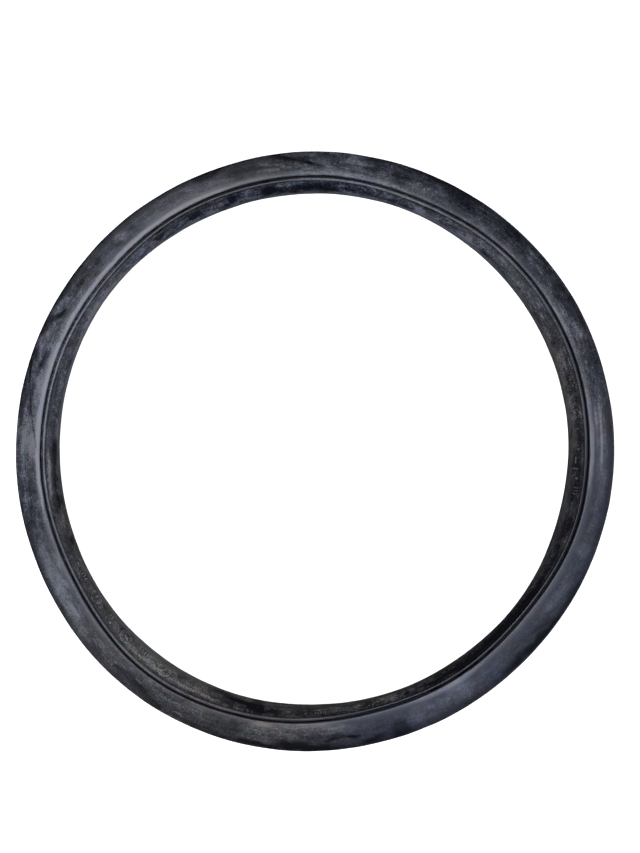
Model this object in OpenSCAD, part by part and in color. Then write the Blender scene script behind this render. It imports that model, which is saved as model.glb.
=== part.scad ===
// Push-on pipe joint gasket: one moulded rubber ring.
// It lies on its rear face with the front face up. The origin is on the
// ring's axis, in the plane of the rear face. All sizes are in millimetres.
//
// Going inwards across the front: a rounded outer rim, a sloping face, a
// rounded shoulder, a narrow groove, a thin lip, then a sloping entry wall that
// rounds over into the throat. The rear edges are well rounded.

/* [Ring] */
// Outside diameter, across the plain outer wall
ring_od = 368; // [320:1:440]
// Radial width of the section, from the outer wall to the throat
section_w = 25; // [24:0.5:26.5]
// Height from the rear face to the crest of the front shoulder
ring_h = 34; // [30:1:38]

/* [Front face] */
// Slope of the outer face, falling towards the rim, in degrees
face_fall = 14; // [8:1:18]
// Radius of the rim where the face meets the outer wall
rim_r = 1; // [0.6:0.1:1.6]
// Distance from the outer wall to the groove
groove_inset = 16; // [15:0.25:17]
// Width of the groove
groove_w = 1.3; // [1.1:0.1:1.6]
// Depth of the groove, below the shoulder's crest
groove_depth = 4.2; // [3:0.1:6]
// Width of the thin lip inside the groove
lip_w = 1.6; // [1.4:0.05:1.8]
// How far the lip's crest lies below the shoulder's crest
lip_drop = 0.8; // [0.5:0.1:1.2]

/* [Throat and rear] */
// How far the throat's upper edge lies below the shoulder's crest
throat_drop = 8; // [7:0.5:10]
// Radius that blends the entry wall into the throat
throat_r = 8; // [4:0.5:9]
// Radius of the rear inner edge
rear_in_r = 9; // [6:0.5:10]
// Radius of the rear outer edge
rear_out_r = 6; // [4:0.5:8]

/* [Mould marks] */
// How far the moulded marks stand out of the entry wall
mark_h = 0.5; // [0.3:0.1:0.8]
// Radius of the three indexing dials
dial_r = 4.5; // [4:0.1:4.6]
// Width of the raised lines
line_w = 0.7; // [0.5:0.1:0.9]

/* [Hidden] */
e = 0.01;

ro = ring_od / 2;               // outer wall
rt = ro - section_w;            // throat
rg = ro - groove_inset;         // groove's outer flank
crest_z = ring_h;
throat_top = crest_z - throat_drop;
lip_z = crest_z - lip_drop;

// Where the sloping face would meet the crest's plane, and its end at the rim
shoulder_x = rg + 3.1;
rim_z = crest_z - (ro - shoulder_x) * tan(face_fall);
shoulder_r = 2.05 / tan(face_fall / 2);

// The entry wall runs straight from here to the throat's upper edge
wall_top = [rg - groove_w - lip_w - 0.9, lip_z - 1.9];
wall_a = atan((wall_top[0] - rt) / (wall_top[1] - throat_top));
wall_n = [-cos(wall_a), sin(wall_a)];

function unit(v) = v / norm(v);

// Points along the arc that rounds corner b between a and c
function corner(a, b, c, r, n) =
    let (u = unit(a - b), v = unit(c - b), half = acos(u * v) / 2,
         o = b + unit(u + v) * r / sin(half),
         p = b + u * r / tan(half), q = b + v * r / tan(half),
         a0 = atan2(p[1] - o[1], p[0] - o[0]),
         a1 = atan2(q[1] - o[1], q[0] - o[0]),
         turn = (a1 - a0 + 540) % 360 - 180)
    [for (i = [0:n]) o + r * [cos(a0 + turn * i / n), sin(a0 + turn * i / n)]];

// A closed outline with each corner [x, y, radius, steps] rounded
function rounded(c) =
    let (n = len(c))
    [for (i = [0:n - 1])
        let (a = c[(i + n - 1) % n], b = c[i], d = c[(i + 1) % n])
        each corner([a[0], a[1]], [b[0], b[1]], [d[0], d[1]], b[2], b[3])];

// The section through one side of the ring: radius across, height up
section = rounded([
    [rt, 0, rear_in_r, 12],                                   // rear inner edge
    [ro, 0, rear_out_r, 10],                                  // rear outer edge
    [ro, rim_z, rim_r, 6],                                    // front rim
    [shoulder_x, crest_z, shoulder_r, 6],                     // shoulder
    [rg, crest_z, 0.85, 6],                                   // shoulder's inner edge
    [rg, crest_z - groove_depth, groove_w / 2 - e, 6],        // groove floor
    [rg - groove_w, crest_z - groove_depth, groove_w / 2 - e, 6],
    [rg - groove_w, lip_z, 0.5, 6],                           // lip crest
    [rg - groove_w - lip_w, lip_z, 0.55, 6],
    [rg - groove_w - lip_w - 0.12, wall_top[1] + 0.12, 0.3, 3],// foot of the lip
    [wall_top[0], wall_top[1], 2.5, 3],                       // top of the wall
    [rt, throat_top, throat_r, 5]                             // wall into throat
]);

// A point on the entry wall, t down its slope
function on_slope(t) = wall_top - t * [sin(wall_a), cos(wall_a)];

// Places children on the entry wall at angle a, t down the slope from its top:
// X up the slope, Y round the ring, Z out of the rubber
module on_wall(a, t)
    rotate([0, 0, a])
        translate([on_slope(t)[0], 0, on_slope(t)[1]])
            rotate([0, wall_a - 90, 0])
                children();

// Prisms that cut marks out of the layer that stands on the wall
module dot(a, t, r)
    on_wall(a, t) cylinder(r = r, h = 5, center = true, $fn = 32);

module bar(a, t, up, along)
    on_wall(a, t) cube([up, along, 5], center = true);

// A plain indexing dial: a ring, twelve ticks and a pointer
module dial(a, t, r, point)
    on_wall(a, t) {
        difference() {
            cylinder(r = r, h = 5, center = true, $fn = 64);
            cylinder(r = r - line_w, h = 6, center = true, $fn = 64);
        }
        for (i = [0:11]) rotate([0, 0, 30 * i])
            translate([r - line_w - 1.35, 0, 0]) cube([1.3, 0.5, 5], center = true);
        rotate([0, 0, point]) {
            translate([-0.6, 0, 0]) cube([4.6, line_w, 5], center = true);
            linear_extrude(height = 5, center = true)
                polygon([[1.2, -1.3], [1.2, 1.3], [3.4, 0]]);
        }
    }

// A row of short upright bars, spaced evenly round the ring
module comb(a, t, count, pitch, up)
    for (i = [0:count - 1])
        bar(a + (i - (count - 1) / 2) * pitch / rt * 180 / PI, t, up, line_w);

module mark_outlines() {
    // -X -Y quarter: dials with dots and bars between them
    dial(-124.6, 5.2, dial_r, 40);
    dial(-135.6, 5.2, dial_r, 155);
    dial(-146.4, 5.2, dial_r, 265);
    for (a = [-130.8, -129.4, -141.6, -140.2]) dot(a, 2.4, 0.9);
    comb(-130.1, 6.6, 3, 1.9, 3);
    comb(-141, 6.6, 2, 1.9, 3);
    comb(-152, 4.6, 4, 1.9, 3);
    bar(-154.6, 4.6, line_w, 3.4);
    comb(-118.4, 2.3, 6, 1.6, 1.9);
    comb(-114.2, 2.3, 4, 1.6, 1.9);
    // -Y side: one fine row under the lip
    comb(-87.5, 2.1, 9, 1.7, 1.8);
    dot(-92, 2.1, 0.7);
    // +X side: a short row and two dots
    comb(-8.4, 3.2, 3, 1.9, 3.2);
    bar(-3.6, 5.2, 4, line_w);
    bar(-1.8, 5.2, line_w, 4);
    dot(-5.8, 3.4, 0.8);
    dot(0.6, 3.4, 0.8);
}

// The arc that rounds the wall into the throat, drawn h outside the rubber but
// never within 0.3 mm of the throat's own radius, so that nothing narrows it
throat_o = [rt + throat_r, throat_top - throat_r * tan(wall_a / 2)];
function over_throat(h) =
    [for (i = [0:8])
        let (a = wall_a * (1 - i / 9), r = throat_r + min(h, throat_r * (1 / cos(a) - 1) - 0.3))
        throat_o + r * [-cos(a), sin(a)]];

// A layer that follows the wall and the rounding below it, so that the marks
// stand out by the same height and fade out at the throat
module raised_marks()
    intersection() {
        rotate_extrude($fn = 360)
            polygon(concat(
                [on_slope(0.6) - wall_n, on_slope(0.6) + mark_h * wall_n],
                over_throat(mark_h),
                [for (i = [8:-1:0]) over_throat(-1)[i]]));
        mark_outlines();
    }

module gasket_ring()
    color([0.16, 0.165, 0.185]) union() {
        rotate_extrude($fn = 360) polygon(section);
        raised_marks();
    }

gasket_ring();
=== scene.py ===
import bpy
import math
import numpy as np
from mathutils import Matrix, Vector


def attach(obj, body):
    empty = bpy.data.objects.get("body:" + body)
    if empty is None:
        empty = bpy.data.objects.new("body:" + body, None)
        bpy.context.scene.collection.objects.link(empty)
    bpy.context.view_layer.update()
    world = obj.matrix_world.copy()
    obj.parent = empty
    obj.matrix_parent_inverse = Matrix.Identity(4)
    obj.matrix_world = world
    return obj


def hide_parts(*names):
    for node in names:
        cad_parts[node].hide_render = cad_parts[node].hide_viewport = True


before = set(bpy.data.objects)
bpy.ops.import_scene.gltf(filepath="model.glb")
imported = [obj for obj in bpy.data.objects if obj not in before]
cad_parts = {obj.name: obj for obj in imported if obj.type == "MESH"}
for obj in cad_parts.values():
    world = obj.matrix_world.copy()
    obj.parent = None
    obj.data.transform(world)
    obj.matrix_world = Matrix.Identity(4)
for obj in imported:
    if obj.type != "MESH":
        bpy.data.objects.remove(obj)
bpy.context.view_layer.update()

NODE = "gasket_ring"

# ---------------------------------------------------------------------------
# The section, in millimetres: the same sizes as the CAD part. Angles round the
# ring are clockwise from +Y as seen from the front, in degrees.
# ---------------------------------------------------------------------------
RING_OD, SECTION_W, RING_H = 368.0, 25.0, 34.0
FACE_FALL, RIM_R = 14.0, 1.0
GROOVE_INSET, GROOVE_W, GROOVE_DEPTH = 16.0, 1.3, 4.2
LIP_W, LIP_DROP = 1.6, 0.8
THROAT_DROP, THROAT_R, REAR_IN_R, REAR_OUT_R = 8.0, 8.0, 9.0, 6.0

RO = RING_OD / 2
RT = RO - SECTION_W
RG = RO - GROOVE_INSET
THROAT_TOP = RING_H - THROAT_DROP
LIP_Z = RING_H - LIP_DROP
SHOULDER_X = RG + 3.1
RIM_Z = RING_H - (RO - SHOULDER_X) * math.tan(math.radians(FACE_FALL))
SHOULDER_R = 2.05 / math.tan(math.radians(FACE_FALL / 2))
WALL_TOP = (RG - GROOVE_W - LIP_W - 0.9, LIP_Z - 1.9)
WALL_A = math.atan2(WALL_TOP[0] - RT, WALL_TOP[1] - THROAT_TOP)
PARTING_Z = 17.0
FACE_MM = 16.2                         # the front face, measured across the skin


def arc(a, b, c, r, n):
    """Points on the arc that rounds corner b between a and c, with their outward normals."""
    a, b, c = (np.array(p, float) for p in (a, b, c))
    u = (a - b) / np.linalg.norm(a - b)
    v = (c - b) / np.linalg.norm(c - b)
    half = math.acos(float(np.clip(u @ v, -1, 1))) / 2
    w = (u + v) / np.linalg.norm(u + v)
    o = b + w * r / math.sin(half)
    p = b + u * r / math.tan(half)
    q = b + v * r / math.tan(half)
    a0 = math.atan2(p[1] - o[1], p[0] - o[0])
    a1 = math.atan2(q[1] - o[1], q[0] - o[0])
    turn = (a1 - a0 + 3 * math.pi) % (2 * math.pi) - math.pi
    t = a0 + turn * np.arange(n + 1) / n
    return o + r * np.stack([np.cos(t), np.sin(t)], 1)


# corner (r, z), its radius, steps on its arc, steps on the straight that follows it
CORNERS = [
    (RO, 0, REAR_OUT_R, 6, 10),
    (RO, RIM_Z, RIM_R, 4, 8),
    (SHOULDER_X, RING_H, SHOULDER_R, 6, 1),
    (RG, RING_H, 0.85, 5, 2),
    (RG, RING_H - GROOVE_DEPTH, GROOVE_W / 2 - 0.01, 3, 1),
    (RG - GROOVE_W, RING_H - GROOVE_DEPTH, GROOVE_W / 2 - 0.01, 3, 2),
    (RG - GROOVE_W, LIP_Z, 0.5, 4, 2),
    (RG - GROOVE_W - LIP_W, LIP_Z, 0.55, 4, 1),
    (RG - GROOVE_W - LIP_W - 0.12, WALL_TOP[1] + 0.12, 0.3, 2, 1),
    (WALL_TOP[0], WALL_TOP[1], 2.5, 2, 4),
    (RT, THROAT_TOP, THROAT_R, 6, 6),
    (RT, 0, REAR_IN_R, 7, 5),
]


def build_section():
    """The closed section as points, each with its arc length, plus the index where each stretch starts."""
    n = len(CORNERS)
    arcs = [
        arc(CORNERS[i - 1][:2], CORNERS[i][:2], CORNERS[(i + 1) % n][:2], CORNERS[i][2], CORNERS[i][3])
        for i in range(n)
    ]
    points, starts = [], []
    for i in range(n):
        starts.append(len(points))
        points.extend(arcs[i])
        a, b = arcs[i][-1], arcs[(i + 1) % n][0]
        k = CORNERS[i][4]
        inner = [j / k for j in range(1, k)]
        if i == 0:
            # the outer wall, with close points on both sides of the parting line
            lo, hi = a[1], b[1]
            zs = [lo + 3.4, lo + 6.8, PARTING_Z - 1.2, PARTING_Z - 0.32, PARTING_Z - 0.12,
                  PARTING_Z + 0.12, PARTING_Z + 0.32, PARTING_Z + 1.2, PARTING_Z + 5, PARTING_Z + 9]
            inner = [(z - lo) / (hi - lo) for z in zs]
        points.extend(a + (b - a) * f for f in inner)
    pts = np.array(points)
    step = np.linalg.norm(np.roll(pts, -1, 0) - pts, axis=1)
    s = np.concatenate([[0], np.cumsum(step)[:-1]])
    return pts, s, float(step.sum()), starts


SECTION, S_AT, PERIMETER, STARTS = build_section()
M = len(SECTION)


def section_normals(pts):
    before, after = np.roll(pts, 1, 0), np.roll(pts, -1, 0)
    a = pts - before
    b = after - pts
    a /= np.linalg.norm(a, axis=1)[:, None]
    b /= np.linalg.norm(b, axis=1)[:, None]
    t = a + b
    t /= np.linalg.norm(t, axis=1)[:, None]
    return np.stack([t[:, 1], -t[:, 0]], 1)


SECTION_N = section_normals(SECTION)

# ---------------------------------------------------------------------------
# The warp. The ring is soft, so it lies a little out of round, its section
# rolls a few degrees, and its front edge is pressed in or out in places.
# One value every 15 degrees, joined by a smooth periodic curve.
# ---------------------------------------------------------------------------
SHIFT = [0.1, 0.6, 0.4, 0.1, 0.0, -0.1, -0.3, -0.8, -0.3, -0.4, -0.5, 0.1,
         0.3, 0.7, 0.7, 0.6, 0.1, -0.8, -1.1, -0.7, 0.1, 0.3, -0.2, -0.3]
ROLL = [0.4, 2.4, 0.9, -1.7, -2.7, -2.1, -2.2, -2.4, 2.3, 3.9, 2.5, 2.8,
        -0.2, -1.9, -3.0, -2.3, 0.4, -0.4, 0.0, 0.8, 3.1, 3.2, 1.3, 0.6]
FRONT = [1.1, 0.2, 0.0, 1.0, 1.0, 0.8, 0.0, -0.1, -1.7, -2.6, -2.4, -3.2,
         -2.3, -0.9, 0.7, 0.6, -0.4, 0.3, 0.9, 0.7, 0.5, 0.2, 1.1, 1.1]
THROAT = [0.7, 0.5, 0.5, 0.5, 0.4, 0.3, 0.1, 0.0, -0.3, -0.5, -0.5, -0.7,
          -0.6, -0.1, 0.2, 0.2, 0.0, 0.1, 0.3, 0.4, 0.5, 0.6, 0.6, 0.7]
PIVOT = np.array([171.5, 13.0])


def periodic(values, degrees):
    """The trigonometric curve through evenly spaced values."""
    c = np.fft.rfft(values) / len(values)
    t = np.radians(degrees)
    out = np.full(np.shape(degrees), c[0].real)
    for m in range(1, len(values) // 2):
        out = out + 2 * (c[m].real * np.cos(m * t) - c[m].imag * np.sin(m * t))
    m = len(values) // 2
    return out + c[m].real * np.cos(m * t)


def smooth(x):
    x = np.clip(x, 0, 1)
    return x * x * (3 - 2 * x)


def warp(r, z, deg):
    """Moves section points (r, z) at angle deg. The lowest point of each section is put back on the floor later, not
    here.
    """
    front = smooth((182.0 - r) / 12.0) * smooth((z - 21.0) / 10.0)
    inner = smooth((169.0 - r) / 9.0) * smooth((31.0 - z) / 9.0)
    r = r + periodic(FRONT, deg) * front + periodic(THROAT, deg) * inner
    a = np.radians(periodic(ROLL, deg))
    x, y = r - PIVOT[0], z - PIVOT[1]
    return (x * np.cos(a) - y * np.sin(a) + PIVOT[0] + periodic(SHIFT, deg),
            x * np.sin(a) + y * np.cos(a) + PIVOT[1])


# ---------------------------------------------------------------------------
# Relief on the skin, in millimetres, as functions of the angle and of where
# the point is on the section.
# ---------------------------------------------------------------------------
def ripple_set(low, high, count, seed):
    g = np.random.default_rng(seed)
    k = 2 * math.pi / g.uniform(low, high, count)
    v = g.normal(size=(count, 3))
    v /= np.linalg.norm(v, axis=1)[:, None]
    return v * k[:, None], g.uniform(0, 2 * math.pi, count)


def ripples(arc_mm, low, high, count, seed):
    """Smooth noise of unit strength with wavelengths from low to high, in the unrolled skin."""
    k, p = ripple_set(low, high, count, seed)
    out = np.zeros(len(arc_mm))
    for i in range(count):
        out += np.cos(arc_mm @ k[i] + p[i])
    return out * math.sqrt(2 / count)


# The wall's chart: t runs down the slope from its top, a runs round the ring.
WALL_D = np.array([-math.sin(WALL_A), -math.cos(WALL_A)])
MARK_H = 0.5
LINE_W = 0.75


def wall_t(r, z):
    return (r - WALL_TOP[0]) * WALL_D[0] + (z - WALL_TOP[1]) * WALL_D[1]


def edge(d, soft=0.28):
    """1 inside a shape, 0 outside, with a rounded shoulder; d is the distance outside its edge."""
    return smooth(0.5 - d / soft)


def box_d(x, y, w, h):
    dx, dy = np.abs(x) - w / 2, np.abs(y) - h / 2
    return np.hypot(np.maximum(dx, 0), np.maximum(dy, 0)) + np.minimum(np.maximum(dx, dy), 0)


def turned(x, y, deg):
    c, s = math.cos(math.radians(deg)), math.sin(math.radians(deg))
    return x * c + y * s, -x * s + y * c


def dial(a, t, r, point):
    d = np.abs(np.hypot(a, t) - (r - LINE_W / 2)) - LINE_W / 2
    for i in range(12):
        x, y = turned(a, t, 30 * i)
        d = np.minimum(d, box_d(x - (r - 1.4), y, 1.2, 0.5))
    x, y = turned(a, t, point)
    d = np.minimum(d, box_d(x - 0.6, y, 4.0, LINE_W))
    head = np.maximum(np.abs(y) - (2.7 - x) * 0.6, 0.9 - x)
    return np.minimum(d, head)


# kind, angle, t, then its own sizes. Plain marks such as a mould carries.
DIALS = [(214.6, 5.2, 4.5, 40), (225.6, 5.2, 4.5, 155), (236.4, 5.2, 4.5, 265)]
DOTS = [(220.8, 2.4, 0.9), (219.4, 2.4, 0.9), (231.6, 2.4, 0.9), (230.2, 2.4, 0.9),
        (182.0, 2.1, 0.7), (95.8, 3.4, 0.8), (89.4, 3.4, 0.8)]
# angle, t, count, pitch, height
COMBS = [(220.1, 6.6, 3, 1.9, 3.0), (231.0, 6.6, 2, 1.9, 3.0), (242.0, 4.6, 4, 1.9, 3.0), (208.4, 2.3, 6, 1.6, 1.9),
         (204.2, 2.3, 4, 1.6, 1.9), (177.5, 2.1, 9, 1.7, 1.8), (98.4, 3.2, 3, 1.9, 3.2)]
BARS = [(244.6, 4.6, 0.75, 3.4), (93.6, 5.2, 4.0, 0.75), (91.8, 5.2, 0.75, 4.0)]


def arc_to(deg, angle, t):
    """Distance round the ring from angle, at depth t on the wall, clockwise."""
    turn = (deg - angle + 180) % 360 - 180
    return np.radians(turn) * (WALL_TOP[0] + t * WALL_D[0])


def mark_distance(deg, t):
    """Distance to the nearest mark's edge, negative inside it."""
    best = np.full(len(deg), 9.0)
    for angle, at, r, point in DIALS:
        best = np.minimum(best, dial(arc_to(deg, angle, t), at - t, r, point))
    for angle, at, r in DOTS:
        best = np.minimum(best, np.hypot(arc_to(deg, angle, t), t - at) - r)
    for angle, at, count, pitch, up in COMBS:
        for i in range(count):
            x = arc_to(deg, angle, t) - (i - (count - 1) / 2) * pitch
            best = np.minimum(best, box_d(x, t - at, LINE_W, up))
    for angle, at, up, along in BARS:
        best = np.minimum(best, box_d(arc_to(deg, angle, t), t - at, along, up))
    return best


# Flow lines and creases on the front: polylines of (angle, share of the face
# from the groove 0 to the rim 1), with half width and depth in millimetres.
CREASES = [
    ([(269.5, 0.08), (273, 0.22), (277.5, 0.44), (282, 0.66), (284.5, 0.82), (288.5, 0.98)], 0.45, 0.07),
    ([(352.5, 0.97), (355.5, 0.78), (358, 0.56), (361.5, 0.40)], 0.7, 0.08),
    ([(211, 0.90), (215, 0.74), (219, 0.60), (223, 0.52)], 0.8, 0.06),
    ([(171, 0.62), (174.5, 0.56), (178, 0.66)], 0.5, 0.06),
]


CREASE_HALF = np.array([c[1] for c in CREASES])
CREASE_DEPTH = np.array([c[2] for c in CREASES])


def crease_distance(deg, face):
    """Nearest crease's distance in millimetres and its row, for points with share face on the front."""
    best = np.full(len(deg), 99.0)
    which = np.zeros(len(deg), int)
    for row, (path, _, _) in enumerate(CREASES):
        for (a0, f0), (a1, f1) in zip(path, path[1:]):
            mid = (a0 + a1) / 2
            x = np.radians((deg - mid + 180) % 360 - 180) * 174
            y = face * FACE_MM
            x0, x1 = math.radians(a0 - mid) * 174, math.radians(a1 - mid) * 174
            y0, y1 = f0 * FACE_MM, f1 * FACE_MM
            n2 = (x1 - x0) ** 2 + (y1 - y0) ** 2
            u = np.clip(((x - x0) * (x1 - x0) + (y - y0) * (y1 - y0)) / n2, 0, 1)
            d = np.hypot(x - x0 - u * (x1 - x0), y - y0 - u * (y1 - y0))
            near = d < best
            best[near], which[near] = d[near], row
    return best, which


def face_share(r):
    return np.clip((r - RG) / (RO - RG), 0, 1)


# ---------------------------------------------------------------------------
# The grid: columns round the ring, rows along the section. Cells with fine
# relief are cut into FINE_A by FINE_S smaller ones, and the cells next to
# them take the extra points into their edges, so that the skin stays closed.
# ---------------------------------------------------------------------------
COLUMNS = 660
FINE_A, FINE_S = 5, 4


def at_row(table, j):
    """Linear value of a per-point table at a fractional row."""
    j0 = np.floor(j).astype(int)
    f = j - j0
    a, b = table[j0 % M], table[(j0 + 1) % M]
    return a + (b - a) * (f if table.ndim == 1 else f[:, None])


WALL_J0 = STARTS[9] + CORNERS[9][3]
WALL_J1 = STARTS[10] + CORNERS[10][3]
FACE_J0 = STARTS[1]
FACE_J1 = STARTS[3] + 3


def fine_cells():
    """True for each (column, row) cell that holds fine relief."""
    fine = np.zeros((COLUMNS, M), bool)
    da = 360 / COLUMNS
    # the wall's marks: test a small lattice in each cell
    cols = np.arange(COLUMNS)
    for j in range(WALL_J0 - 1, WALL_J1):
        best = np.full(COLUMNS, 99.0)
        for fi in np.linspace(0, 1, 6):
            for fj in np.linspace(0, 1, 5):
                p = at_row(SECTION, np.full(COLUMNS, j + fj))
                d = mark_distance((cols + fi) * da, wall_t(p[:, 0], p[:, 1]))
                best = np.minimum(best, np.abs(d))
        fine[:, j] |= best < 0.3
    # the creases on the front face
    for j in range(FACE_J0, FACE_J1):
        best = np.full(COLUMNS, 99.0)
        for fi in (0, 0.5, 1):
            for fj in (0, 0.5, 1):
                p = at_row(SECTION, np.full(COLUMNS, j + fj))
                d, row = crease_distance((cols + fi) * da, face_share(p[:, 0]))
                best = np.minimum(best, d / CREASE_HALF[row])
        fine[:, j] |= best < 1.5
    return fine


def build_points(deg, j):
    """Final places, in millimetres, and the unrolled coordinates of points at angle deg and fractional row j."""
    rz = at_row(SECTION, j)
    n = at_row(SECTION_N, j)
    n /= np.linalg.norm(n, axis=1)[:, None]
    s = np.interp(j, np.arange(M + 1), np.append(S_AT, PERIMETER))
    a = np.radians(deg)
    arc_mm = np.stack([171 * np.cos(a), 171 * np.sin(a), s], 1)
    r, z = rz[:, 0], rz[:, 1]

    # soft waviness of the moulding, a little stronger on the front face
    h = 0.05 * ripples(arc_mm, 18, 60, 24, 11) + 0.018 * ripples(arc_mm, 5, 14, 28, 12)
    on_face = (j >= FACE_J0) & (j <= FACE_J1)
    h += np.where(on_face, 0.02 * ripples(arc_mm, 9, 30, 24, 13), 0)

    # the shallow swell across the middle of the front face
    share = face_share(r)
    h += np.where(on_face, 0.16 * np.exp(-((share - 0.47) / 0.09) ** 2), 0)

    # creases on the front face
    m = on_face
    d, row = crease_distance(deg[m], share[m])
    h[m] -= CREASE_DEPTH[row] * np.exp(-(d / CREASE_HALF[row]) ** 2)

    # the parting line round the outer wall
    wall_out = (np.abs(r - RO) < 0.01)
    h += np.where(wall_out, 0.14 * np.exp(-((z - PARTING_Z) / 0.22) ** 2), 0)

    # the raised marks on the entry wall, which fade out at the throat
    on_wall = (j >= WALL_J0 - 1) & (j <= WALL_J1)
    t = wall_t(r, z)
    h[on_wall] += MARK_H * edge(mark_distance(deg[on_wall], t[on_wall])) * smooth((r[on_wall] - RT - 0.02) / 0.6)

    r, z = r + n[:, 0] * h, z + n[:, 1] * h
    r, z = warp(r, z, deg)
    return r, z, arc_mm, s


fine = fine_cells()


def lowest(deg):
    """The lowest height of the warped section at each angle."""
    out = np.full(len(deg), 1e9)
    for r, z in SECTION[(SECTION[:, 1] < 9)]:
        _, zz = warp(np.full(len(deg), r), np.full(len(deg), z), deg)
        out = np.minimum(out, zz)
    return out


LOW_DEG = np.arange(0, 360, 0.5)
LOW_Z = lowest(LOW_DEG)

# lattice indices of the points, shared between neighbouring cells
NA, NS = COLUMNS * FINE_A, M * FINE_S
index = {}
keys = []


def point(i, j):
    k = ((i % NA) * NS) + (j % NS)
    if k not in index:
        index[k] = len(keys)
        keys.append(k)
    return index[k]


faces = []
face_uv = []


def uv_of(i, j):
    """The unrolled map: the ring is cut into three strips, stacked. Neither i nor j wraps here."""
    strip, u = divmod(i / NA * 3, 1.0)
    return strip, u, j / NS


for ci in range(COLUMNS):
    left, right = fine[(ci - 1) % COLUMNS], fine[(ci + 1) % COLUMNS]
    here = fine[ci]
    for cj in range(M):
        i0, j0 = ci * FINE_A, cj * FINE_S
        if here[cj]:
            for a in range(FINE_A):
                for b in range(FINE_S):
                    q = [(i0 + a, j0 + b), (i0 + a + 1, j0 + b), (i0 + a + 1, j0 + b + 1), (i0 + a, j0 + b + 1)]
                    faces.append([point(*p) for p in q])
                    face_uv.append(q)
            continue
        q = [(i0, j0)]
        if here[cj - 1]:
            q += [(i0 + a, j0) for a in range(1, FINE_A)]
        q.append((i0 + FINE_A, j0))
        if right[cj]:
            q += [(i0 + FINE_A, j0 + b) for b in range(1, FINE_S)]
        q.append((i0 + FINE_A, j0 + FINE_S))
        if here[(cj + 1) % M]:
            q += [(i0 + FINE_A - a, j0 + FINE_S) for a in range(1, FINE_A)]
        q.append((i0, j0 + FINE_S))
        if left[cj]:
            q += [(i0, j0 + FINE_S - b) for b in range(1, FINE_S)]
        faces.append([point(*p) for p in q])
        face_uv.append(q)

keys = np.array(keys)
deg = (keys // NS) / NA * 360.0
row = (keys % NS) / FINE_S
r, z, arc_mm, s_mm = build_points(deg, row)
z_raw = z
z = z - np.interp(deg, np.append(LOW_DEG, 360), np.append(LOW_Z, LOW_Z[0]))
z = np.maximum(z, 0.0)
a = np.radians(deg)
co = np.stack([r * np.sin(a), r * np.cos(a), z], 1) / 1000.0

sizes = np.array([len(f) for f in faces])
loops = np.concatenate([np.array(f) for f in faces])

me = bpy.data.meshes.new("gasket_skin")
me.vertices.add(len(co))
me.vertices.foreach_set("co", co.astype(np.float32).ravel())
me.loops.add(len(loops))
me.loops.foreach_set("vertex_index", loops.astype(np.int32))
me.polygons.add(len(sizes))
me.polygons.foreach_set("loop_start", np.concatenate([[0], np.cumsum(sizes)[:-1]]).astype(np.int32))
me.polygons.foreach_set("loop_total", sizes.astype(np.int32))
me.update(calc_edges=True)
me.validate()
me.shade_smooth()
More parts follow.
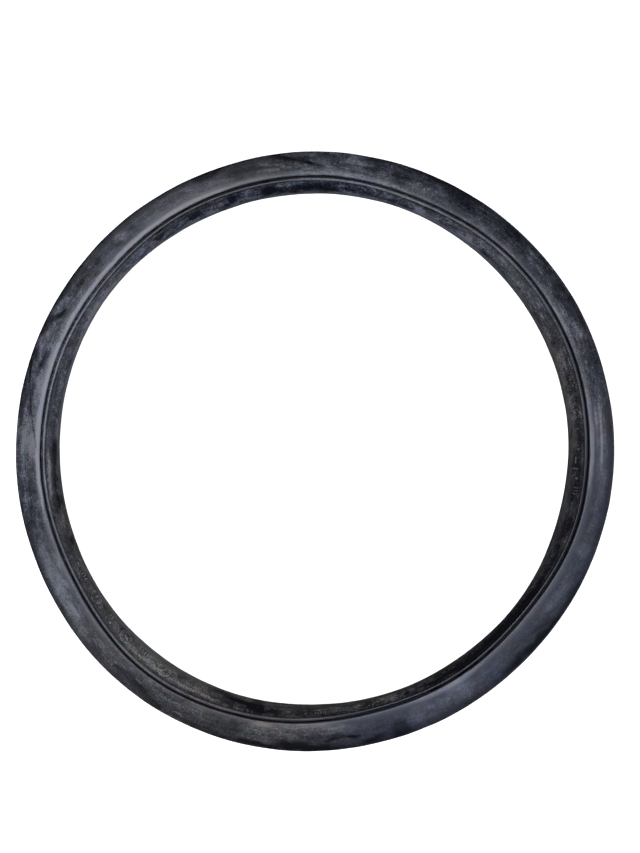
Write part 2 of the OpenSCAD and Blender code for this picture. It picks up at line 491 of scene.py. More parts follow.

# ---------------------------------------------------------------------------
# Tone: where the bloom lies thick (lighter) and where the rubber shows dark, together with painted highlight on the
# crest and lip, painted light on the throat's edge and lower wall, and painted shade in the groove, on the rim, in the
# creases and over stretches of the wall.
# Soft strokes on the unrolled skin: angle, place across the
# zone, length round the ring in millimetres, width across, lean in degrees,
# strength. On the front face the place runs from the groove 0 to the rim 1,
# and on the wall from its top 0 to the lower edge of the throat 1, as they face the front.
# ---------------------------------------------------------------------------
# Front strokes: blotches and stretches of bloom, with painted highlight, painted light and painted shade among them.
FACE_BLOOM_AND_LIGHT_STROKES = [
    (5, 0.50, 24, 7, 0, 0.14), (12, 0.66, 14, 9, 12, -0.28), (18, 0.58, 18, 8, 8, -0.22), (24, 0.45, 16, 6, 0, 0.10),
    (30, 0.72, 18, 6, 4, -0.24), (35, 0.45, 14, 5, -6, 0.10), (41, 0.76, 22, 6, 4, -0.20), (49, 0.60, 12, 9, 0, 0.17),
    (52.5, 0.60, 9, 9, 20, -0.14), (56, 0.74, 18, 7, 10, -0.19), (62, 0.84, 14, 4, 0, -0.15), (30, 0.50, 24, 5, 0, -0.10), (60, 0.35, 20, 4, 0, 0.10), (65, 0.52, 13, 6, 0, 0.19),
    # the long thin bright strokes at 83 to 87 degrees are painted highlight streaks
    (66, 0.56, 3, 2.2, 0, 0.36), (72, 0.66, 20, 7, 0, -0.08), (84, 0.50, 44, 9, 0, 0.06), (87, 0.47, 40, 1.3, 0, 0.36),
    (83, 0.60, 20, 1.5, 2, 0.19), (86, 0.30, 26, 1.6, -1, 0.19), (92, 0.12, 44, 3, 0, 0.12), (101, 0.60, 26, 8, 0, 0.05),
    (110, 0.50, 10, 9, 30, 0.14), (119, 0.88, 20, 3, -4, -0.20), (121, 0.50, 20, 5, -4, 0.10), (130, 0.86, 40, 5, -3, -0.39),
    (128, 0.62, 18, 2.2, -8, -0.22), (137, 0.80, 12, 6, 0, -0.20), (148, 0.42, 34, 8, 0, 0.19), (156, 0.50, 22, 9, 0, 0.12),
    (162.5, 0.72, 11, 9, 34, -0.28), (168, 0.82, 16, 4, 8, -0.34), (172.5, 0.62, 9, 2.2, -14, -0.25), (176, 0.52, 8, 2.0, 16, -0.20),
    (175, 0.30, 24, 4, 0, 0.14), (182, 0.80, 36, 5, -4, -0.34), (186, 0.66, 18, 3, -6, -0.16), (191, 0.86, 26, 2.2, -3, -0.42), (191, 0.30, 24, 6, 0, 0.17),
    (198, 0.52, 18, 8, 12, -0.11), (205, 0.78, 20, 5, 8, -0.13), (210.5, 0.60, 14, 6, 0, 0.10), (213.5, 0.80, 14, 4.0, -14, -0.40),
    (218.5, 0.60, 20, 5.2, -8, -0.72), (222.5, 0.55, 9, 4, 0, -0.30), (228, 0.70, 8, 5, 12, -0.25), (231, 0.55, 6, 5, 0, -0.20), (237, 0.52, 12, 2.4, 3, 0.30), (247.5, 0.22, 16, 3.4, 0, 0.24),
    (242, 0.60, 18, 7, 0, 0.10), (249, 0.60, 26, 8, 0, 0.12), (255.5, 0.62, 5, 5, 30, -0.17), (260, 0.72, 6, 5, 10, 0.12),
    (264.5, 0.70, 10, 5, 0, 0.12), (268.5, 0.86, 7, 4, 0, -0.14), (275, 0.55, 18, 6, 0, 0.07), (285, 0.50, 14, 5, 24, 0.22),
    (286, 0.90, 12, 2.6, 15, -0.50), (288.5, 0.90, 11, 4.5, 0, -0.52), (289, 0.46, 11, 4.5, -14, -0.62), (295.5, 0.88, 12, 4.0, 0, -0.52), (297.5, 0.66, 11, 3.6, -42, -0.52),
    (299, 0.42, 7, 4.5, 0, -0.66), (302.8, 0.92, 8, 4.0, 0, -0.58), (299, 0.76, 6, 5, 0, 0.14), (305.8, 0.52, 8, 3.4, -26, -0.34), (308.6, 0.36, 7, 3, -30, -0.34),
    (309.5, 0.26, 5, 3.2, 0, -0.50), (311.5, 0.60, 4, 9, 8, -0.30), (303.5, 0.60, 8, 4, -20, -0.16), (191, 0.12, 16, 3, 0, 0.16),
    (304.8, 0.52, 8, 6, 0, 0.14), (308, 0.78, 8, 6, 24, -0.28), (311.5, 0.55, 8, 5, 0, 0.10), (318, 0.60, 10, 8, 30, 0.10),
    (321, 0.50, 5, 9, 34, -0.14), (330, 0.52, 34, 9, 0, -0.03), (339, 0.84, 16, 5, 4, -0.31), (346, 0.55, 18, 8, 0, -0.11),
    (354, 0.84, 14, 3.6, -26, -0.48), (357.5, 0.60, 16, 3.2, -26, -0.45), (352, 0.52, 16, 2.0, -24, 0.19), (351, 0.36, 12, 3, -10, 0.07),
    (317, 0.42, 7, 3, 0, -0.36), (318, 0.60, 7, 6, 0, 0.14), (339, 0.90, 20, 3.4, 0, -0.31), (334, 0.60, 3, 7, 50, 0.14),
    # broad ones: partly bloom and partly painted light and shade, lighter on the left and darker on the upper right;
    # those at place 0.95 to 0.97 are painted shade and painted light along the rim, those at 0.08 to 0.10 painted
    # highlight along the crest
    (2, 0.75, 60, 8, 0, 0.06), (0, 0.42, 60, 7, 0, 0.04), (285, 0.30, 80, 5, 0, 0.20), (292, 0.78, 60, 9, 0, 0.24), (272, 0.50, 44, 10, 0, 0.12), (268, 0.28, 44, 4, 0, 0.10), (285, 0.24, 70, 4, 0, 0.12), (272, 0.97, 40, 2.5, 0, 0.14), (2, 0.90, 50, 5, 0, 0.12),
    (240, 0.85, 60, 6, 0, 0.10), (36, 0.55, 60, 8, 0, -0.12), (62, 0.60, 50, 10, 0, -0.17),
    (92, 0.50, 70, 6, 0, 0.14), (118, 0.50, 50, 6, 0, 0.08), (150, 0.55, 80, 13, 0, 0.06), (182, 0.26, 50, 5, 0, 0.14),
    (240, 0.55, 70, 10, 0, 0.28), (270, 0.68, 60, 10, 0, 0.24), (210, 0.55, 40, 8, 0, -0.08), (300, 0.26, 70, 5, 0, -0.02), (332, 0.50, 80, 14, 0, 0.24),
    (30, 0.96, 60, 3, 0, -0.26), (90, 0.95, 50, 2.5, 0, -0.22), (240, 0.96, 60, 2.5, 0, -0.20), (303, 0.95, 50, 3, 0, -0.18),
    (212, 0.96, 40, 2.5, 0, 0.22), (270, 0.96, 50, 2.5, 0, 0.18), (0, 0.95, 50, 3, 0, 0.10),
    (305, 0.08, 250, 3.2, 0, 0.34), (274, 0.08, 90, 3.4, 0, 0.60), (185, 0.10, 60, 3.2, 0, 0.14), (60, 0.10, 50, 3, 0, 0.12), (150, 0.10, 60, 3.5, 0, 0.20), (85, 0.10, 70, 3.5, 0, 0.18), (10, 0.10, 60, 3, 0, 0.16),
    (212, 0.10, 60, 3.5, 0, -0.08),
]
# Wall strokes: blotches of bloom, with painted light and painted shade among them.
WALL_BLOOM_AND_LIGHT_STROKES = [
    (3, 0.44, 28, 5.5, 0, -0.44), (355.5, 0.50, 22, 4.6, 0, -0.42), (350.3, 0.38, 9.5, 4.8, 0, -0.72), (345, 0.55, 9, 7, 0, 0.16),
    (342.0, 0.30, 5, 4.4, 0, -0.66), (339.9, 0.74, 8, 3, -10, -0.46), (336.6, 0.50, 7, 5, 30, 0.16), (333, 0.33, 8.5, 4.4, -8, -0.76),
    (334.8, 0.68, 5, 2.4, -20, -0.26), (328.6, 0.50, 8, 7, 0, 0.12), (324.5, 0.14, 9, 4.0, -6, -0.74), (319, 0.50, 20, 7, 0, 0.08),
    (305, 0.50, 50, 8, 0, 0.16), (282, 0.66, 50, 6, 0, 0.12), (7.5, 0.60, 5, 2.4, 0, 0.24), (13.3, 0.22, 5, 3, 0, 0.34),
    (11, 0.40, 18, 3.6, 0, -0.22), (16, 0.40, 7, 5, 0, 0.26), (19, 0.76, 18, 2.4, -4, -0.34), (17.5, 0.45, 7, 2, -10, -0.26),
    (24, 0.50, 14, 6, 24, 0.20), (30.5, 0.50, 12, 3.6, 0, -0.24), (30, 0.95, 22, 2.2, 0, 0.26), (37.5, 0.70, 5, 5, 0, -0.14),
    (34, 0.60, 30, 5.5, 0, 0.16), (50, 0.50, 24, 5, -14, 0.16), (60, 0.45, 16, 3.5, 0, -0.04), (70, 0.40, 18, 2.5, 0, 0.06),
    # the wide dark strokes from 95 to 148 degrees across the middle of the wall are painted shade
    (82, 0.70, 30, 4, 0, -0.10), (95, 0.50, 30, 8.5, 0, -0.10), (110, 0.50, 44, 9.5, 0, -0.20), (130, 0.50, 60, 11, 0, -0.34),
    (148, 0.50, 36, 8.5, 0, -0.24), (160, 0.60, 30, 6, 0, -0.06), (175, 0.62, 34, 5.5, 0, 0.10), (184, 0.60, 24, 5, 0, -0.04),
    (192.6, 0.56, 10, 7, 0, -0.78), (192.8, 0.40, 1.6, 3.6, 12, 0.50), (189.5, 0.24, 22, 2.6, -6, -0.40), (178, 0.34, 20, 4, 0, 0.08), (198.5, 0.74, 28, 2.4, 4, -0.62),
    (198, 0.45, 22, 5, 0, -0.22), (207, 0.30, 16, 4, 0, 0.10), (219, 0.45, 34, 9, 0, 0.10),
    (232, 0.50, 32, 8, 0, 0.14), (243, 0.55, 16, 6, 0, 0.04), (249.8, 0.76, 5, 3, 0, -0.44), (258.5, 0.52, 11, 8, 0, -0.40), (265, 0.60, 30, 4, 0, -0.14), (271, 0.56, 11, 3.4, 0, -0.22),
    (265, 0.16, 32, 1.8, 0, 0.46), (266, 0.40, 26, 3, 0, -0.16),
    # broad ones: those at place 0.10 to 0.22 lay painted shadow under the lip from 60 to 180 degrees and painted light
    # under it at 30 and 212 degrees; those at 0.68 to 0.78 painted light on the lower wall; those at 0.93 to 0.98
    # painted light along the throat's edge
    (30, 0.20, 70, 3, 0, 0.18), (60, 0.20, 60, 3, 0, -0.16), (90, 0.20, 60, 3, 0, -0.14), (135, 0.20, 120, 3.5, 0, -0.26), (180, 0.20, 50, 3, 0, -0.10), (332, 0.10, 60, 2, 0, -0.20),
    (212, 0.20, 80, 3, 0, 0.24), (268, 0.22, 80, 3, 0, 0.02), (261, 0.34, 20, 4, 0, -0.12), (112, 0.45, 26, 6, 0, -0.10), (135, 0.12, 110, 2.4, 0, -0.16), (30, 0.68, 60, 4, 0, 0.16), (75, 0.70, 100, 4, 0, 0.16),
    (118, 0.72, 70, 3.5, 0, 0.14), (212, 0.70, 60, 4, 0, 0.10), (240, 0.72, 50, 4, 0, 0.14), (270, 0.48, 60, 4, 0, -0.16),
    (303, 0.70, 60, 4, 0, 0.14), (335, 0.78, 50, 3, 0, 0.20), (20, 0.98, 200, 3.0, 0, 0.42), (30, 0.95, 60, 4.0, 0, 0.34), (302, 0.98, 180, 3.0, 0, 0.56), (303, 0.93, 70, 3.4, 0, 0.26),
    (215, 0.98, 130, 3.0, 0, 0.30), (80, 0.98, 120, 3.4, 0, 0.10),
]

# The same skin seen along the section: crest and lip are smoother and carry a
# painted highlight, the groove and the rim carry painted shade, and the throat's edge painted light.
# Each entry is a place along the section and the tone and polish there.
def section_profile(entries, row):
    rows, values = zip(*sorted(entries))
    return np.interp(row, rows, values, period=M)


S_RIM, S_SHOULDER, S_EDGE, S_FLOOR, S_FLOOR2, S_LIP, S_LIP2, S_FOOT, S_WALL, S_THROAT, S_REAR = STARTS[1:]
SECTION_PAINTED_LIGHT_ROWS = [
    (0, -0.10), (S_RIM - 3, -0.06), (S_RIM + 0.5, -0.26), (S_RIM + 5, -0.22), (S_RIM + 7, -0.04), (S_SHOULDER, 0.04),
    (S_EDGE, 0.22), (S_EDGE + 4, 0.18), (S_EDGE + 6, -0.30), (S_FLOOR, -0.50), (S_FLOOR2 + 4, -0.50), (S_LIP - 0.5, -0.10),
    (S_LIP + 1, 0.16), (S_LIP2 + 3, 0.14), (S_FOOT, 0.06), (S_WALL + 1, -0.06), (S_WALL + 4, 0.0), (S_THROAT + 1, 0.02),
    (S_THROAT + 4, 0.12), (S_THROAT + 6, 0.26), (S_REAR, 0.16), (S_REAR + 10, -0.10),
]
POLISH_ROWS = [
    (0, 0.0), (S_SHOULDER - 1, 0.0), (S_SHOULDER + 3, 0.7), (S_EDGE, 1.0), (S_EDGE + 4, 0.8), (S_FLOOR, -1.4), (S_FLOOR2 + 3, -1.4), (S_LIP, 0.2),
    (S_LIP + 2, 1.0), (S_LIP2 + 3, 1.0), (S_FOOT + 2, 0.1), (S_WALL + 3, 0.0), (S_REAR + 12, 0.0),
]


def across_wall(r, z, deg):
    """Place down the wall and throat as they face the front, and their width in millimetres, after the warp."""
    reach = []
    for r0, z0 in SECTION[S_THROAT - 1:S_REAR]:
        x, y = warp(np.full(len(LOW_DEG), r0), np.full(len(LOW_DEG), z0), LOW_DEG)
        reach.append(x + 0.12 * y)
    x, y = warp(np.full(len(LOW_DEG), WALL_TOP[0]), np.full(len(LOW_DEG), WALL_TOP[1]), LOW_DEG)
    top = np.interp(deg, LOW_DEG, x + 0.12 * y, period=360)
    width = top - np.interp(deg, LOW_DEG, np.min(reach, 0), period=360)
    return (top - r - 0.12 * z) / width, width


def strokes(rows, deg, across, width_mm, radius, ragged):
    out = np.zeros(len(deg))
    dx, dy = ragged
    for angle, place, length, wide, lean, strength in rows:
        x = np.radians((deg - angle + 180) % 360 - 180) * radius + dx * min(1.0, length / 22)
        y = (across - place) * width_mm + dy * min(1.0, wide / 9)
        x, y = turned(x, y, lean)
        d = np.hypot(x / (length / 2), y / (wide / 2))
        out += strength * smooth((1.35 - d) / 0.8)
    return out


def around(centre, half, fade):
    """1 within half degrees of centre, falling to 0 over fade degrees more."""
    return smooth((half + fade - np.abs((deg - centre + 180) % 360 - 180)) / fade)


on_face = (row >= FACE_J0) & (row <= FACE_J1)
on_wall = (row >= S_FOOT) & (row <= S_REAR)
base = at_row(SECTION, row)
place_mm = np.stack([base[:, 0] * np.sin(a), base[:, 0] * np.cos(a), base[:, 1]], 1)
ragged = (2.4 * ripples(place_mm, 7, 30, 20, 21), 0.9 * ripples(place_mm, 6, 22, 20, 22))
# the section's tone: painted highlight on crest and lip, painted shade in the groove and on the rim, painted light on
# the throat's edge
tone_with_painted_light = section_profile(SECTION_PAINTED_LIGHT_ROWS, row)
face_r = tuple(v[on_face] for v in ragged)
wall_r = tuple(v[on_wall] for v in ragged)
tone_with_painted_light[on_face] += strokes(FACE_BLOOM_AND_LIGHT_STROKES, deg[on_face], face_share(base[on_face, 0]), FACE_MM, 174, face_r)
# painted shade in the creases on the front
d, which = crease_distance(deg[on_face], face_share(base[on_face, 0]))
tone_with_painted_light[on_face] -= 0.34 * np.exp(-(d / (CREASE_HALF[which] * 1.2)) ** 2)
on_lip = smooth((row - S_LIP + 1) / 1.5) * smooth((S_FOOT - row) / 2)
on_groove = smooth((row - S_EDGE - 5) / 2) * smooth((S_LIP - row) / 1.5)
# painted highlight and shade by angle: the lip lighter round 25, 212 and 280 degrees and darker round 62, 132 and 336;
# the groove painted lighter round 34 and 288 and painted darker round 135
tone_with_painted_light += on_lip * (0.22 * around(25, 20, 20) + 0.14 * around(280, 14, 16) + 0.10 * around(212, 10, 10)
                  - 0.27 * around(336, 12, 16) - 0.10 * around(62, 8, 10) - 0.55 * around(132, 30, 20))
tone_with_painted_light += on_groove * (0.45 * around(288, 30, 20) + 0.35 * around(34, 14, 14) - 0.40 * around(135, 30, 15))
depth_on_wall = wall_t(base[:, 0], base[:, 1])
down_wall, width_wall = across_wall(r[on_wall], z_raw[on_wall], deg[on_wall])
tone_with_painted_light[on_wall] += strokes(WALL_BLOOM_AND_LIGHT_STROKES, deg[on_wall], down_wall, width_wall, 162, wall_r)
# the raised marks are painted lighter on top, a painted highlight, and ringed with painted shade at their foot
d = mark_distance(deg[on_wall], depth_on_wall[on_wall])
tone_with_painted_light[on_wall] += 0.33 * edge(d, 0.4) - 0.14 * np.exp(-((d - 0.5) / 0.4) ** 2)

# how far each point belongs to the wall, and to the front as a whole
wallness = smooth((row - S_FOOT) / 2) * smooth((S_REAR + 2 - row) / 4)
front = smooth((row - S_RIM + 6) / 6) * smooth((S_REAR + 4 - row) / 6)

# the skin is warmer and less blue in some stretches and bluer in others: on the wall the warmer stretches, mostly round
# the bottom, and the bluer ones at the top are a painted tint of the light falling there, and on the front the hue
# shifts along the ring
brown = np.where(on_wall, np.minimum(1, around(198, 48, 22) + 0.65 * around(102, 32, 14) + 0.5 * around(256, 12, 10)), 0.8 * around(203, 18, 20) + 0.3 * around(338, 12, 14))
rubbed = section_profile(POLISH_ROWS, row) * (1 - 0.8 * on_lip * around(132, 30, 20))
blue = np.where(on_wall, around(358, 8, 16) + 0.6 * around(36, 20, 12) + 0.7 * around(330, 12, 6),
                (around(135, 30, 24) + 0.45 * around(290, 40, 14) + 0.7 * around(217, 6, 6)) * (1 - 0.6 * rubbed))
# and is smoother in others
even = np.where(on_wall, (0.65 * around(226, 24, 8) + 0.6 * around(288, 22, 10) + 0.55 * around(103, 14, 8) + 0.5 * around(184, 6, 6)) * smooth((S_THROAT + 7 - row) / 3),
                1.2 * around(128, 42, 12) + around(332, 14, 10) + 0.7 * around(240, 8, 10) + 0.5 * around(190, 10, 10))


def leaning(width, length, lean, deg, s):
    """Coordinates, closed round the ring, in which plain noise becomes streaks that lean from the ring's direction."""
    c, n = math.cos(math.radians(lean)), math.sin(math.radians(lean))
    turn = np.radians(deg) - c / n * s / 171
    radius = 171 * abs(n) / width
    return np.stack([radius * np.cos(turn), radius * np.sin(turn), s / (length * abs(n))], 1)


def put(name, kind, values):
    attribute = me.attributes.new(name, kind, "POINT")
    attribute.data.foreach_set("vector" if kind == "FLOAT_VECTOR" else "value", values.astype(np.float32).ravel())


put("place", "FLOAT_VECTOR", place_mm)
put("unrolled", "FLOAT_VECTOR", arc_mm)
put("lean_a", "FLOAT_VECTOR", leaning(1.8, 16, 13, deg, s_mm))
put("lean_b", "FLOAT_VECTOR", leaning(1.6, 13, -17, deg, s_mm))
put("lean_c", "FLOAT_VECTOR", leaning(1.0, 6, 48, deg, s_mm))
put("lean_d", "FLOAT_VECTOR", leaning(1.0, 6, -62, deg, s_mm))
# tone: bloom together with painted highlight, painted light and painted shade
put("tone_with_painted_light", "FLOAT", tone_with_painted_light)
put("polish", "FLOAT", rubbed)
put("wall", "FLOAT", wallness)
put("front", "FLOAT", front)
put("brown", "FLOAT", brown)
put("blue", "FLOAT", blue)
put("even", "FLOAT", even)

# The UV map: three strips of the unrolled skin, stacked in a square
layer = me.uv_layers.new(name="OFBake")
uv = np.empty((len(loops), 2), np.float32)
k = 0
for q in face_uv:
    strip = int(min(p[0] for p in q) / NA * 3 + 1e-9)
    for i, j in q:
        uv[k, 0] = 0.005 + 0.99 * (i / NA * 3 - strip)
        uv[k, 1] = (strip + 0.01 + 0.98 * j / NS) / 3
        k += 1
layer.uv.foreach_set("vector", uv.ravel())

ring = bpy.data.objects.new("gasket_skin", me)
bpy.context.scene.collection.objects.link(ring)

# faces point outwards
tri = co[np.array([f[:3] for f in faces])]
volume = np.einsum("ij,ij->i", tri[:, 0], np.cross(tri[:, 1], tri[:, 2])).sum()
if volume < 0:
    me.flip_normals()

# ---------------------------------------------------------------------------
# Materials
# ---------------------------------------------------------------------------


class Nodes:
    """Short hand for building a node tree."""

    def __init__(self, name):
        self.material = bpy.data.materials.new(name)
        self.material.use_nodes = True
        self.tree = self.material.node_tree
        self.tree.nodes.clear()
        self.out = self.tree.nodes.new("ShaderNodeOutputMaterial")

    def add(self, kind, **values):
        node = self.tree.nodes.new("ShaderNode" + kind)
        for key, value in values.items():
            setattr(node, key, value)
        return node

    def link(self, a, b):
        self.tree.links.new(a, b)

    def set(self, socket, value):
        if isinstance(value, bpy.types.NodeSocket):
            self.link(value, socket)
        else:
            socket.default_value = value

    def math(self, op, a, b=0.0, c=0.0, clamp=False):
        node = self.add("Math", operation=op, use_clamp=clamp)
        for socket, value in zip(node.inputs, (a, b, c)):
            self.set(socket, value)
        return node.outputs[0]

    def scaled(self, vector, xyz):
        node = self.add("VectorMath", operation="MULTIPLY")
        self.set(node.inputs[0], vector)
        node.inputs[1].default_value = xyz
        return node.outputs[0]

    def noise(self, vector, scale, detail=4.0, rough=0.55, distortion=0.0, lacunarity=2.0):
        node = self.add("TexNoise", noise_dimensions="3D")
        self.set(node.inputs["Vector"], vector)
        node.inputs["Scale"].default_value = scale
        node.inputs["Detail"].default_value = detail
        node.inputs["Roughness"].default_value = rough
        node.inputs["Lacunarity"].default_value = lacunarity
        node.inputs["Distortion"].default_value = distortion
        return node.outputs["Fac"]

    def ramp(self, value, low, high, to_low=0.0, to_high=1.0, smooth_step=True):
        node = self.add("MapRange", interpolation_type="SMOOTHSTEP" if smooth_step else "LINEAR", clamp=True)
        self.set(node.inputs["Value"], value)
        for key, number in zip(("From Min", "From Max", "To Min", "To Max"), (low, high, to_low, to_high)):
            node.inputs[key].default_value = number
        return node.outputs["Result"]

    def colours(self, value, stops):
        node = self.add("ValToRGB")
        self.set(node.inputs["Fac"], value)
        elements = node.color_ramp.elements
        while len(elements) < len(stops):
            elements.new(0.5)
        for element, (place, colour) in zip(elements, stops):
            element.position = place
            element.color = (*colour, 1)
        return node.outputs["Color"]

    def mix(self, factor, a, b, kind="MIX"):
        node = self.add("Mix", data_type="RGBA", blend_type=kind)
        self.set(node.inputs[0], factor)
        self.set(node.inputs[6], a if isinstance(a, bpy.types.NodeSocket) else (*a, 1))
        self.set(node.inputs[7], b if isinstance(b, bpy.types.NodeSocket) else (*b, 1))
        return node.outputs[2]


def rubber():
    m = Nodes("moulded_rubber")
    attribute = lambda name: m.add("Attribute", attribute_name=name).outputs
    mm = attribute("place")["Vector"]
    tone_with_painted_light_in, polish = attribute("tone_with_painted_light")["Fac"], attribute("polish")["Fac"]
    wall_in, front_in = attribute("wall")["Fac"], attribute("front")["Fac"]
    brown_in, blue_in = attribute("brown")["Fac"], attribute("blue")["Fac"]

    # bloom: clouds of about 20 mm, patches of about 10 by 4 mm, blotches of about 5 mm, mottle of about
    # 2 mm and a fine grain
    skin = attribute("unrolled")["Vector"]
    clouds = m.noise(mm, 0.046, 2.0, 0.5, 0.4)
    patches = m.noise(m.scaled(skin, (0.085, 0.085, 0.26)), 1.0, 3.0, 0.55, 0.5)
    blotch = m.noise(mm, 0.19, 3.0, 0.6, 0.9)
    mottle = m.noise(mm, 0.55, 4.0, 0.65, 0.3)
    grain = m.noise(mm, 1.6, 2.0, 0.65)
    # wiped streaks: two widths that run round the ring, and a few that lean a little
    wide = m.noise(m.scaled(skin, (0.045, 0.045, 0.50)), 1.0, 3.0, 0.55, 0.3)
    narrow = m.noise(m.scaled(skin, (0.11, 0.11, 1.20)), 1.0, 3.0, 0.6, 0.3)
    lean_a = m.noise(attribute("lean_a")["Vector"], 1.0, 3.0, 0.6, 0.3)
    lean_b = m.noise(attribute("lean_b")["Vector"], 1.0, 3.0, 0.6, 0.3)
    which = m.ramp(m.noise(mm, 0.033, 1.0, 0.5, 0.5), 0.44, 0.56)
    wiped = m.mix(which, lean_a, lean_b)

    def more(total, value, amount, where=None):
        amount = amount if where is None else m.math("MULTIPLY", where, amount)
        return m.math("MULTIPLY_ADD", m.math("SUBTRACT", value, 0.5), amount, total)

    total = 0.5
    for value, amount in ((clouds, 0.70), (patches, 0.65), (blotch, 0.60), (mottle, 0.90), (grain, 1.8), (wide, 0.50), (narrow, 0.60)):
        total = more(total, value, amount)
    total = more(total, wiped, 0.50, front_in)
    # the wall is speckled and scratched rather than wiped
    speckle = m.noise(mm, 1.1, 3.0, 0.65)
    total = more(total, speckle, 1.4, wall_in)
    total = more(total, m.noise(mm, 0.15, 3.0, 0.6, 0.6), 1.1, wall_in)
    scratch = m.mix(which, m.noise(attribute("lean_c")["Vector"], 1.0, 2.0, 0.6, 0.5), m.noise(attribute("lean_d")["Vector"], 1.0, 2.0, 0.6, 0.5))
    total = more(total, scratch, 0.7, m.math("MULTIPLY_ADD", wall_in, 0.65, 0.35))
    # the rubbed crest and lip are more even, and so are the darkest places
    calm = m.math("MULTIPLY_ADD", attribute("even")["Fac"], -0.55, m.math("MULTIPLY_ADD", polish, -0.5, 1.0))
    calm = m.math("MULTIPLY", calm, m.ramp(tone_with_painted_light_in, -0.62, -0.18, 0.45, 1.0))
    total = m.math("MULTIPLY_ADD", m.math("SUBTRACT", total, 0.5), calm, 0.5)
    # the tone attribute adds bloom and painted light and shade to the noise here
    bloom_with_painted_light = m.math("ADD", total, tone_with_painted_light_in, clamp=True)

    colour = m.colours(bloom_with_painted_light, [(0.0, (0.0040, 0.0045, 0.0076)), (0.25, (0.0105, 0.0115, 0.0172)),
                               (0.50, (0.0273, 0.0292, 0.0374)), (0.75, (0.0702, 0.0740, 0.0872)),
                               (1.0, (0.1680, 0.1745, 0.1920))])
    hue = m.ramp(m.noise(mm, 0.07, 3.0, 0.65, 0.8), 0.38, 0.62)
    colour = m.mix(1.0, colour, m.mix(hue, (1.04, 0.97, 1.01), (0.96, 1.025, 1.0)), "MULTIPLY")
    warmth = m.ramp(m.noise(mm, 0.11, 3.0, 0.65, 0.5), 0.40, 0.60)
    colour = m.mix(1.0, colour, m.mix(warmth, (1.035, 1.0, 0.95), (0.97, 1.0, 1.06)), "MULTIPLY")
    # warm and blue shifts of the colour; on the wall they are a painted tint of the light falling there
    colour = m.mix(1.0, colour, m.mix(brown_in, (1.0, 1.0, 1.02), (1.07, 0.98, 0.83)), "MULTIPLY")
    colour = m.mix(1.0, colour, m.mix(blue_in, (1.0, 1.0, 1.0), (0.95, 1.0, 1.10)), "MULTIPLY")
    shader = m.add("BsdfPrincipled")
    m.link(colour, shader.inputs["Base Color"])
    rough = m.math("MULTIPLY_ADD", polish, -0.15, m.ramp(bloom_with_painted_light, 0.0, 0.5, 0.27, 0.44, False))
    m.link(rough, shader.inputs["Roughness"])
    shader.inputs["IOR"].default_value = 1.5
    shader.inputs["Specular IOR Level"].default_value = 0.30

    # relief too fine for the mesh: skin grain and the edges of the wiped bloom
    height = m.math("MULTIPLY", m.noise(mm, 1.7, 3.0, 0.6), 0.6)
    height = m.math("MULTIPLY_ADD", mottle, 0.5, height)
    height = m.math("MULTIPLY_ADD", narrow, 0.3, height)
    bump = m.add("Bump")
    bump.inputs["Strength"].default_value = 0.4
    bump.inputs["Distance"].default_value = 0.00025
    m.link(height, bump.inputs["Height"])
    m.link(bump.outputs["Normal"], shader.inputs["Normal"])
    m.link(shader.outputs["BSDF"], m.out.inputs["Surface"])
    return m.material


me.materials.append(rubber())

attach(ring, "root")
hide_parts(NODE)

# ---------------------------------------------------------------------------
# Stage: a pale floor, soft lights, and the camera above the front face
# ---------------------------------------------------------------------------
floor_mesh = bpy.data.meshes.new("floor")
R = 4.0
floor_mesh.from_pydata([(-R, -R, -0.0002), (R, -R, -0.0002), (R, R, -0.0002), (-R, R, -0.0002)], [], [(0, 1, 2, 3)])
floor = bpy.data.objects.new("floor", floor_mesh)
bpy.context.scene.collection.objects.link(floor)
paper = Nodes("pale_floor")
sheet = paper.add("BsdfDiffuse")
sheet.inputs["Color"].default_value = (0.90, 0.90, 0.90, 1)
glow = paper.add("Emission")
glow.inputs["Strength"].default_value = 0.85
both = paper.add("AddShader")
paper.link(sheet.outputs["BSDF"], both.inputs[0])
paper.link(glow.outputs["Emission"], both.inputs[1])
paper.link(both.outputs["Shader"], paper.out.inputs["Surface"])
floor_mesh.materials.append(paper.material)
floor.visible_glossy = False
floor.visible_diffuse = False

world = bpy.data.worlds.new("studio")
bpy.context.scene.world = world
world.use_nodes = True
world.node_tree.nodes["Background"].inputs["Color"].default_value = (0.96, 0.98, 1.0, 1)
world.node_tree.nodes["Background"].inputs["Strength"].default_value = 0.05


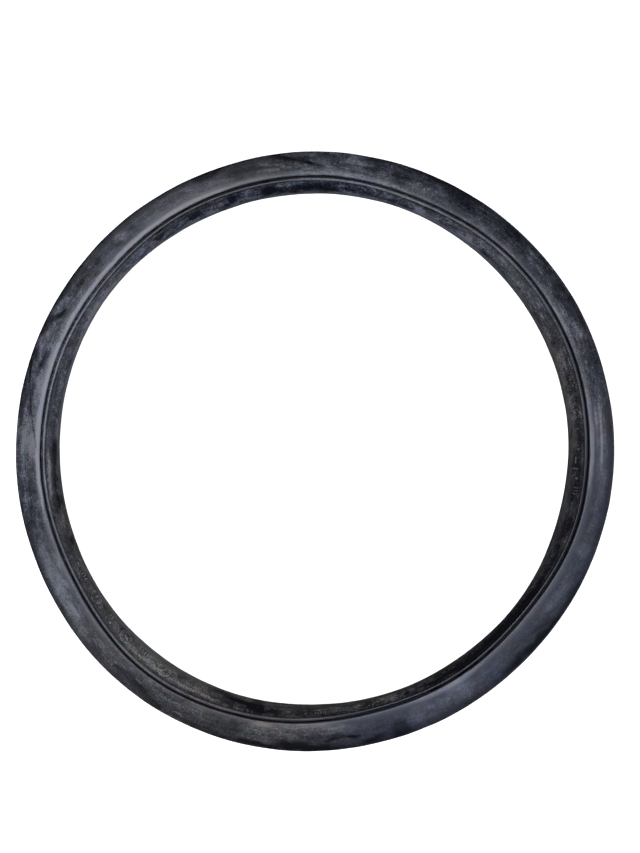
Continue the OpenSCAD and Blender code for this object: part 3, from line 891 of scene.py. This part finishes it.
def area(name, turn, rise, distance, size, power, colour):
    """A soft disk light aimed at the ring, turn degrees clockwise from +Y and rise degrees above its plane."""
    light = bpy.data.lights.new(name, "AREA")
    light.shape = "DISK"
    light.size = size
    light.energy = power
    light.color = colour
    o = bpy.data.objects.new(name, light)
    bpy.context.scene.collection.objects.link(o)
    t, e = math.radians(turn), math.radians(rise)
    away = Vector((math.cos(e) * math.sin(t), math.cos(e) * math.cos(t), math.sin(e)))
    o.location = Vector((0, 0, 0.03)) + away * distance
    o.rotation_mode = "QUATERNION"
    o.rotation_quaternion = away.to_track_quat("Z", "Y")
    return o


COOL, PALE, PLAIN = (0.875, 0.912, 1.0), (0.915, 0.935, 1.0), (1.0, 0.985, 0.96)
area("overhead", 0, 90, 1.72, 0.70, 5.6, PALE)
area("high_left", 275, 75, 1.5, 0.60, 7.8, PALE)
area("high_back", 335, 68, 1.5, 0.60, 2.8, PALE)
area("high_right", 90, 68, 1.5, 0.60, 1.6, PALE)
area("left", 225, 45, 1.5, 0.60, 1.8, COOL)
area("right", 90, 25, 1.5, 0.60, 4.4, COOL)
area("low_back", 45, 10, 1.5, 0.60, 4.8, COOL)
area("low_front", 135, 20, 1.5, 0.60, 5.4, COOL)
area("low_left", 225, 10, 1.5, 0.60, 4.4, PLAIN)

PX = 0.0006114                        # metres to a pixel in the plane of the front face
CAM = Vector((-0.020, 0.050, 1.334))
AIM = Vector((0.0032, 0.0158, 0.034))
camera = bpy.data.objects.new("camera", bpy.data.cameras.new("camera"))
bpy.context.scene.collection.objects.link(camera)
look = (AIM - CAM)
forward = look.normalized()
right = forward.cross(Vector((0, 1, 0))).normalized()
up = right.cross(forward)
camera.matrix_world = Matrix((
    (right.x, up.x, -forward.x, CAM.x),
    (right.y, up.y, -forward.y, CAM.y),
    (right.z, up.z, -forward.z, CAM.z),
    (0, 0, 0, 1)))
camera.data.sensor_width = 36
camera.data.lens = 36 * look.length / (853 * PX)
camera.data.clip_start, camera.data.clip_end = 0.05, 20
bpy.context.scene.camera = camera

bpy.context.scene.view_settings.view_transform = "Standard"
bpy.context.scene.view_settings.look = "None"

print("FACES", len(sizes), "TRIANGLES", int((sizes - 2).sum()), "FINE", int(fine.sum()))
